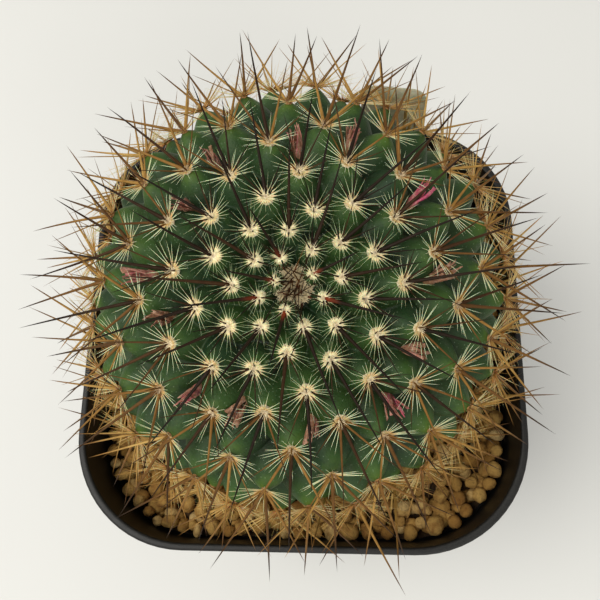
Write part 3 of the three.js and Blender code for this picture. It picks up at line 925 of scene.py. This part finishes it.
def make_pot():
    """A thin tapered tub with a rolled rim, a collar, drain holes and grooves between them."""
    inside = lambda level: float(inner_half(level))
    bead = 0.5 * MM
    step_foot = COLLAR_LEVEL - COLLAR_STEP
    profile = [
        (0, 0),
        (BASE_HALF - 6 * MM, 0),
        *arc(BASE_HALF - 1.2 * MM, 1.2 * MM, 1.2 * MM, -90, 0, 5),
        (inside(12 * MM) + WALL, 12 * MM),
        (inside(step_foot - 1 * MM) + WALL, step_foot - 1 * MM),
        (inside(step_foot) + WALL, step_foot),
        (inside(COLLAR_LEVEL) + WALL - 0.15 * MM, COLLAR_LEVEL - 0.15 * MM),
        (inside(COLLAR_LEVEL) + WALL, COLLAR_LEVEL + 0.2 * MM),
        (inside(RIM_LEVEL - BEAD_HEIGHT) + WALL, RIM_LEVEL - BEAD_HEIGHT),
        (POT_HALF - 0.15 * MM, RIM_LEVEL - BEAD_HEIGHT + 0.15 * MM),
        (POT_HALF, RIM_LEVEL - BEAD_HEIGHT + 0.5 * MM),
        *arc(POT_HALF - bead, RIM_LEVEL - bead, bead, 0, 90, 5),
        *arc(POT_HALF - BEAD_WIDTH + bead, RIM_LEVEL - bead, bead, 90, 180, 5),
        (inside(COLLAR_LEVEL), COLLAR_LEVEL),
        (inside(step_foot), step_foot),
        (inside(FLOOR + 1 * MM), FLOOR + 1 * MM),
        (inside(FLOOR) - 1 * MM, FLOOR),
        (0, FLOOR),
    ]
    points, faces = square_loft(profile, 16)
    rim = smooth_step(RIM_LEVEL - 1.2 * MM, RIM_LEVEL, points[:, 2])
    piece = mesh_piece("pot_shell", points, faces, {"rim": rim})

    ring = BASE_HALF - DRAIN_INSET
    holes = bmesh.new()
    grooves = bmesh.new()
    length = BASE_HALF - ring + 2 * MM
    for side in range(4):
        for reach, turn in ((1, 0), (DIAGONAL_REACH, 45)):
            angle = math.radians(side * 90 + turn)
            place = Matrix.Translation(
                (ring * reach * math.cos(angle), ring * reach * math.sin(angle), 0))
            bmesh.ops.create_cone(
                holes, cap_ends=True, segments=32, radius1=DRAIN_HOLE, radius2=DRAIN_HOLE,
                depth=FLOOR * 3, matrix=place)
        place = (Matrix.Rotation(math.radians(side * 90), 4, "Z")
                 @ Matrix.Translation((ring + length / 2, 0, 0))
                 @ Matrix.Diagonal((length, GROOVE_WIDTH, 2 * GROOVE_DEPTH, 1)))
        bmesh.ops.create_cube(grooves, size=1, matrix=place)
    cut_away(piece, holes)
    cut_away(piece, grooves)
    shade_by_angle(piece, 35)
    finish_piece(piece, pot_material(), "pot", "pot")


def apply_modifier(piece, kind, **settings):
    modifier = piece.modifiers.new("shape", kind)
    for key, value in settings.items():
        setattr(modifier, key, value)
    bpy.context.view_layer.objects.active = piece
    bpy.ops.object.modifier_apply(modifier="shape")


def cut_away(piece, shape):
    """Takes a shape off a piece, and frees the shape."""
    mesh = bpy.data.meshes.new("cutter")
    shape.to_mesh(mesh)
    shape.free()
    tool = link("cutter", mesh)
    apply_modifier(piece, "BOOLEAN", operation="DIFFERENCE", object=tool, solver="EXACT")
    bpy.data.objects.remove(tool)


def shade_by_angle(piece, limit):
    """Smooth shading with sharp edges where two faces meet at more than the limit."""
    bpy.ops.object.select_all(action="DESELECT")
    piece.select_set(True)
    bpy.context.view_layer.objects.active = piece
    bpy.ops.object.shade_smooth_by_angle(angle=math.radians(limit))


# ---- potting mix

def stem_half_at(level):
    """Radius of the stem's skin, and its middle, at a height near the granules."""
    drop = level - STEM_CENTRE[2]
    polar = math.acos(np.clip(drop / LOWER_HEIGHT, -0.98, 0))
    radius = STEM_RADIUS * math.sin(polar) ** LOWER_FULLNESS
    middle = STEM_CENTRE[:2] + np.array((math.tan(LEAN_SIDEWAYS), -math.tan(LEAN_FORWARD))) * drop
    return radius, middle


def make_mix():
    """The bed under the loose granules: its top is a rough granular ground."""
    rng = np.random.default_rng(8)
    inside = lambda level: float(inner_half(level)) - BED_GAP
    top = MIX_LEVEL - BED_DROP
    reach = inside(top)
    profile = [(0, mix_low.z), (BASE_HALF - WALL - 4 * BED_GAP, mix_low.z),
               (inside(mix_low.z), mix_low.z + 0.8 * MM),
               (inside(COLLAR_LEVEL - COLLAR_STEP), COLLAR_LEVEL - COLLAR_STEP),
               (inside(COLLAR_LEVEL), COLLAR_LEVEL),
               (reach, top),
               *((reach * share, top) for share in np.linspace(0.97, 0.05, 26)),
               (0, top)]
    points, faces = square_loft(profile, 10)
    inner = (points[:, 2] > top - 0.01 * MM) & (np.abs(points[:, :2]).max(-1) < reach * 0.975)
    points[inner, 2] += rng.uniform(-0.9, 0.6, inner.sum()) * MM
    finish_piece(mesh_piece("mix_bed", points, faces), mix_material(), "granules", "substrate")


def make_granules():
    """Loose clay granules on top of the bed, packed at random round the stem."""
    rng = np.random.default_rng(12)
    base, triangles = unit_ball(3)
    shapes = []
    for _ in range(GRANULE_SHAPES):
        lumps = np.ones(len(base))
        for scale, height in GRANULE_WAVES:
            for _ in range(3):
                lumps += 0.5 * height * np.sin(base @ rng.normal(0, scale, 3) + rng.uniform(0, TAU))
        shapes.append(base * lumps[:, None])
    radius, middle = stem_half_at(MIX_LEVEL)
    placed, sizes = [], []
    for drop, closeness, tries in GRANULE_LAYERS:
        level = MIX_LEVEL - drop
        half = float(inner_half(level - 1.6 * MM))
        layer, layer_sizes = [], []
        for attempt in range(tries):
            size = rng.uniform(*GRANULE_SIZE)
            if attempt < tries / 5:
                # the first ones line the wall
                turn = rng.uniform(0, TAU)
                spot = np.array((math.cos(turn), math.sin(turn))) * half * 1.5
                while square_distance(spot, half) > -size:
                    spot *= 0.985
            else:
                spot = rng.uniform(-MIX_HALF, MIX_HALF, 2)
            if square_distance(spot, half) > -size * 0.9:
                continue
            if np.linalg.norm(spot - middle) < radius * 0.8:
                continue
            if layer:
                away = np.linalg.norm(np.array(layer)[:, :2] - spot, axis=-1)
                if (away < (np.array(layer_sizes) + size) * closeness).any():
                    continue
            layer.append((*spot, level + rng.uniform(-0.6, 0.6) * MM))
            layer_sizes.append(size)
        placed += layer
        sizes += layer_sizes
    points, faces, own = [], [], []
    for place, (centre, size) in enumerate(zip(placed, sizes)):
        shape = shapes[rng.integers(len(shapes))]
        axis = Vector(rng.normal(0, 1, 3)).normalized()
        matrix = np.array(Matrix.Rotation(rng.uniform(0, TAU), 3, axis))
        squash = rng.uniform(0.76, 1.1, 3)
        points.append((shape * squash * size) @ matrix.T + centre)
        faces.append(triangles + place * len(base))
        own.append(np.full(len(base), rng.random()))
    piece = mesh_piece("clay_granules", np.vstack(points), [np.concatenate(faces)],
                       {"own": np.concatenate(own)})
    finish_piece(piece, granule_material(), "granules")


# ---- label

def make_label():
    """The tag keeps its CAD place: a thin plate with softened edges."""
    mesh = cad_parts["plant_label"].data.copy()
    shape = bmesh.new()
    shape.from_mesh(mesh)
    bmesh.ops.remove_doubles(shape, verts=shape.verts, dist=1e-6)
    bmesh.ops.dissolve_limit(
        shape, angle_limit=math.radians(1), verts=shape.verts, edges=shape.edges)
    sharp = [edge for edge in shape.edges if edge.calc_face_angle(0) > math.radians(60)]
    bmesh.ops.bevel(shape, geom=sharp, offset=0.12 * MM, segments=2, affect="EDGES")
    shape.to_mesh(mesh)
    shape.free()
    piece = link("tag_plate", mesh)
    shade_by_angle(piece, 40)
    finish_piece(piece, label_material(), "label", "plant_label")


# ---- dried flowers

def make_dried_flower(place, number):
    """A shrivelled flower: a thin papery tube that ends in a frayed twist of dry petals."""
    rng = np.random.default_rng(200 + number)
    middle = (TIPS[number] + TIPS[number + NEXT_IN_ROW]) / 2
    axis = unit(middle) @ STEM_TURN.T
    spot = to_frame(middle)
    out = unit(DOWN[number] - axis * (DOWN[number] @ axis))
    side = np.cross(axis, out)
    lean = rng.uniform(-0.2, 1.0)
    sway = rng.uniform(-0.7, 0.7)
    length = rng.uniform(6.5, 8.0) * MM
    top = rng.uniform(0.4, 1.7) * MM
    rows, columns = DRIED_ROWS, DRIED_COLUMNS
    points, faces, along, own = [], [], [], []
    offset = 0
    for petal in range(DRIED_PETALS):
        turn = TAU * petal / DRIED_PETALS + rng.uniform(-0.4, 0.4)
        twist = rng.uniform(0.6, 2.6)
        width = rng.uniform(0.3, 0.56) * MM
        reach = length * rng.uniform(0.74, 1.0)
        flare = rng.uniform(0.1, 1.9)
        curl = rng.uniform(-1.2, 1.2)
        shade = rng.uniform(-0.26, 0.2)
        for row in range(rows):
            t = row / (rows - 1)
            swell = (0.35 + 0.75 * math.sin(math.pi * min(t * 0.9 + 0.05, 1)) ** 1.5) * 0.75 * MM
            swell *= 1 - 0.5 * t ** 3
            swell += flare * MM * max(t - 0.55, 0) * 2.0
            angle = turn + twist * t
            centre = np.array((math.cos(angle), math.sin(angle))) * swell
            height = top - length + reach * t
            drift = np.array((lean, sway)) * (t ** 2) * 2.4 * MM
            tangent = np.array((-math.sin(angle), math.cos(angle)))
            across = width * (0.6 + 0.8 * math.sin(math.pi * min(t + 0.15, 1)) * (1 - 0.4 * t))
            across *= 1 - 0.85 * t ** 5
            for column in range(columns):
                u = column / (columns - 1) - 0.5
                crease = 0.13 * MM * math.sin(13 * u + 9 * t + petal) + rng.normal(0, 0.035) * MM
                flat = centre * (1 + crease / MM * 0.8) + tangent * across * 2 * u + drift
                flat -= centre * (u * u) * (0.9 + curl * t)
                points.append(spot + out * flat[0] + side * flat[1] + axis * (height + crease))
                along.append(t)
                own.append(shade + rng.uniform(-0.12, 0.12))
        grid = offset + np.arange(rows * columns).reshape(rows, columns)
        faces.append(np.stack(
            [grid[:-1, :-1], grid[:-1, 1:], grid[1:, 1:], grid[1:, :-1]], -1).reshape(-1, 4))
        offset += rows * columns
    piece = mesh_piece(
        f"dried_petals_{place + 1:02d}", points, faces,
        {"along": along, "own": np.clip(np.array(own) + DRIED_SHADES[place], 0, 1)})
    apply_modifier(piece, "SOLIDIFY", thickness=0.1 * MM)
    finish_piece(piece, dried_material(), "dried_flower", f"dried_flower_{place + 1:02d}")


# ---- the studio

def make_studio():
    floor = bpy.data.meshes.new("studio_floor")
    corners = [(x * FLOOR_REACH, y * FLOOR_REACH, 0) for x, y in ((-1, -1), (1, -1), (1, 1), (-1, 1))]
    floor.from_pydata(corners, [], [(0, 1, 2, 3)])
    floor.materials.append(floor_material())
    link("studio_floor", floor)

    world = bpy.data.worlds.new("studio_sky")
    world.use_nodes = True
    sky = world.node_tree.nodes["Background"]
    sky.inputs["Color"].default_value = SKY_COLOUR
    sky.inputs["Strength"].default_value = SKY_STRENGTH
    bpy.context.scene.world = world

    for name, spot, size, power in LAMPS:
        lamp = bpy.data.lights.new(name, "AREA")
        lamp.shape = "DISK"
        lamp.size = size
        lamp.energy = power
        lamp.color = LAMP_COLOUR
        light = link(name, lamp)
        light.location = spot
        light.rotation_euler = (LAMP_AIM - light.location).to_track_quat("-Z", "Y").to_euler()


def make_camera():
    back = Vector((
        math.sin(CAMERA_AZIMUTH) * math.cos(CAMERA_ELEVATION),
        -math.cos(CAMERA_AZIMUTH) * math.cos(CAMERA_ELEVATION),
        math.sin(CAMERA_ELEVATION)))
    level = Vector((math.cos(CAMERA_AZIMUTH), math.sin(CAMERA_AZIMUTH), 0))
    above = back.cross(level)
    right = math.cos(CAMERA_ROLL) * level + math.sin(CAMERA_ROLL) * above
    up = back.cross(right)
    data = bpy.data.cameras.new("camera")
    data.lens = CAMERA_LENS
    data.sensor_width = CAMERA_SENSOR
    data.clip_start = 0.01
    data.clip_end = 20
    camera = link("camera", data)
    turn = Matrix((right, up, back)).transposed()
    camera.matrix_world = Matrix.Translation(LOOK_AT + back * CAMERA_DISTANCE) @ turn.to_4x4()
    bpy.context.scene.camera = camera


bpy.context.scene.view_settings.view_transform = "Standard"
make_camera()
make_studio()
make_pot()
make_mix()
make_granules()
make_skin()
make_wool()
make_radials()
make_centrals()
make_crown()
make_label()
for place, number in enumerate(DRIED_FLOWERS):
    make_dried_flower(place, number)
